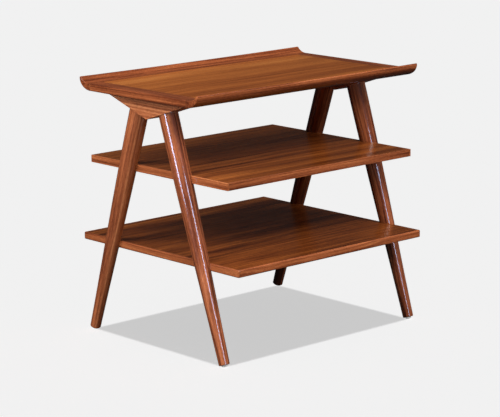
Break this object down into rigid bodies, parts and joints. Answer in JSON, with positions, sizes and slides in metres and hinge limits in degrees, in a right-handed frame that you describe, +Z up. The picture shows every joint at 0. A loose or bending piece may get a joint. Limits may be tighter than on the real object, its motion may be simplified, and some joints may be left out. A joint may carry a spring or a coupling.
{
  "type": "photo album stand",
  "caption": "Three-tier wooden album stand: a tray-like top with upswept front and back lips, two open shelves below it, and round tapered legs splayed to the front and back.",
  "frame": {"origin": "on the floor, under the middle of the top", "axes": "+X along the length of the top, +Y towards the back, +Z up"},
  "size_m": [0.762, 0.598, 0.673],
  "materials": {
    "top_veneer": "satin lacquered walnut veneer, grain along the top",
    "top_rail": "satin lacquered solid walnut",
    "end_rail": "satin lacquered solid walnut, grain across the top",
    "leg_block": "satin lacquered solid walnut",
    "leg": "satin lacquered turned walnut",
    "shelf_veneer": "satin lacquered walnut veneer",
    "shelf_band": "satin lacquered solid walnut",
    "dowel": "plain birch",
    "glide": "smooth white nylon",
    "steel": "zinc plated"
  },
  "bodies": {
    "root": {"top_panel": "top_veneer", "front_lip_rail": "top_rail", "back_lip_rail": "top_rail", "left_end_rail": "end_rail", "right_end_rail": "end_rail", "top_frame_dowels": "dowel", "left_leg_block": "leg_block", "right_leg_block": "leg_block", "block_screws": "steel", "front_left_leg": "leg", "front_left_glide": "glide", "front_right_leg": "leg", "front_right_glide": "glide", "back_left_leg": "leg", "back_left_glide": "glide", "back_right_leg": "leg", "back_right_glide": "glide", "glide_nails": "steel", "mid_shelf_panel": "shelf_veneer", "mid_shelf_left_band": "shelf_band", "mid_shelf_right_band": "shelf_band", "mid_shelf_front_band": "shelf_band", "mid_shelf_back_band": "shelf_band", "mid_shelf_dowels": "dowel", "lower_shelf_panel": "shelf_veneer", "lower_shelf_left_band": "shelf_band", "lower_shelf_right_band": "shelf_band", "lower_shelf_front_band": "shelf_band", "lower_shelf_back_band": "shelf_band", "lower_shelf_dowels": "dowel"}
  },
  "joints": []
}
